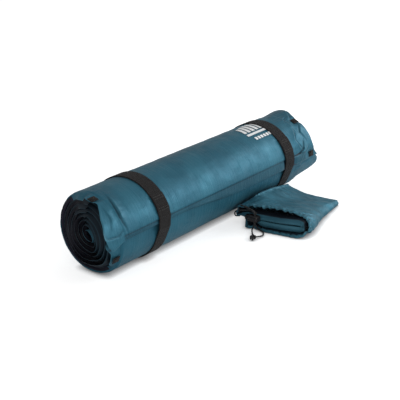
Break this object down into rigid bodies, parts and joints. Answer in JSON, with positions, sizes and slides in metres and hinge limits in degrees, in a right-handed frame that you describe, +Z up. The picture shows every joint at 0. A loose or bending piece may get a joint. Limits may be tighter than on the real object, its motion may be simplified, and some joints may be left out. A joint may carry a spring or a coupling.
{
  "type": "inflatable sleeping pad",
  "caption": "Self-inflating sleeping pad rolled up and held by elastic loops, with a screw valve, snap tabs and a folded stuff sack.",
  "frame": {"origin": "on the floor, in the middle of the flat underside of the left-hand elastic loop, 170 mm from the middle of the roll", "axes": "+X along the roll towards its valve end, +Z up; the stuff sack lies on the -Y side"},
  "size_m": [0.6145, 0.2854, 0.1493],
  "materials": {
    "cover": "coated polyester, soft sheen",
    "underside": "dark coated polyester",
    "foam": "open-cell foam",
    "valve": "satin black",
    "seal": "soft black",
    "elastic": "woven black elastic",
    "thread": "black thread",
    "webbing": "black tape",
    "snap_metal": "darkened press-stud metal",
    "sack_cloth": "coated polyester, soft sheen",
    "cord": "round braided cord",
    "cord_lock": "satin black",
    "spring": "spring wire"
  },
  "bodies": {
    "pad": {"top_cover": "cover", "bottom_cover": "underside", "foam_core": "foam", "valve_base": "valve", "valve_seal_ring": "seal"},
    "left_strap": {"left_strap": "elastic", "left_strap_stitches": "thread"},
    "right_strap": {"right_strap": "elastic", "right_strap_stitches": "thread"},
    "valve_gasket": {"valve_gasket": "seal"},
    "valve_cap": {"valve_cap": "valve"},
    "front_left_tab": {"front_left_tab": "webbing", "front_left_snap_cap": "snap_metal", "front_left_snap_socket": "snap_metal"},
    "front_right_tab": {"front_right_tab": "webbing", "front_right_snap_cap": "snap_metal", "front_right_snap_stud": "snap_metal"},
    "top_left_tab": {"top_left_tab": "webbing", "top_left_snap_cap": "snap_metal", "top_left_snap_socket": "snap_metal"},
    "top_right_tab": {"top_right_tab": "webbing", "top_right_snap_cap": "snap_metal", "top_right_snap_stud": "snap_metal"},
    "stuff_sack": {"stuff_sack": "sack_cloth", "drawcord": "cord", "cord_knot": "cord"},
    "cord_lock": {"cord_lock_barrel": "cord_lock", "cord_lock_spring": "spring"},
    "cord_lock_button": {"cord_lock_button": "cord_lock"}
  },
  "joints": [
    {"name": "left_strap_slide", "type": "slide", "parent": "pad", "child": "left_strap", "axis": [-1, 0, 0], "range_m": [-0.1, 0.19]},
    {"name": "right_strap_slide", "type": "slide", "parent": "pad", "child": "right_strap", "axis": [1, 0, 0], "range_m": [-0.1, 0.05]},
    {"name": "valve_cap_rise", "type": "slide", "parent": "pad", "child": "valve_gasket", "axis": [1, 0, 0], "range_m": [0, 0.004]},
    {"name": "valve_cap_turn", "type": "hinge", "parent": "valve_gasket", "child": "valve_cap", "pos_m": [0.472, 0.04496, 0.12006], "axis": [1, 0, 0], "range_deg": [0, 450]},
    {"name": "front_left_tab_fold", "type": "hinge", "parent": "pad", "child": "front_left_tab", "pos_m": [-0.118, -0.06522, 0.04576], "axis": [0, 0.3746, -0.9272], "range_deg": [0, 115]},
    {"name": "front_right_tab_fold", "type": "hinge", "parent": "pad", "child": "front_right_tab", "pos_m": [0.4705, -0.07846, 0.07848], "axis": [0, 0.1045, 0.9945], "range_deg": [0, 115]},
    {"name": "top_left_tab_fold", "type": "hinge", "parent": "pad", "child": "top_left_tab", "pos_m": [-0.122, -0.02242, 0.14296], "axis": [0, -0.9703, -0.2419], "range_deg": [0, 115]},
    {"name": "top_right_tab_fold", "type": "hinge", "parent": "pad", "child": "top_right_tab", "pos_m": [0.4705, -0.03587, 0.13819], "axis": [0, 0.9063, 0.4226], "range_deg": [0, 115]},
    {"name": "stuff_sack_move", "type": "slide", "parent": "pad", "child": "stuff_sack", "axis": [0, -1, 0], "range_m": [0, 0.15]},
    {"name": "cord_lock_slide", "type": "slide", "parent": "stuff_sack", "child": "cord_lock", "axis": [0, 0, 1], "range_m": [-0.006, 0.004]},
    {"name": "cord_lock_press", "type": "slide", "parent": "cord_lock", "child": "cord_lock_button", "axis": [0, -1, 0], "range_m": [0, 0.003], "stiffness_N_per_m": 900, "springref_m": -0.003, "deforming": ["cord_lock_spring"]}
  ],
  "couplings": [
    {"joint": "valve_cap_turn", "follows": "valve_cap_rise", "rad_per_m": 1963.5}
  ]
}
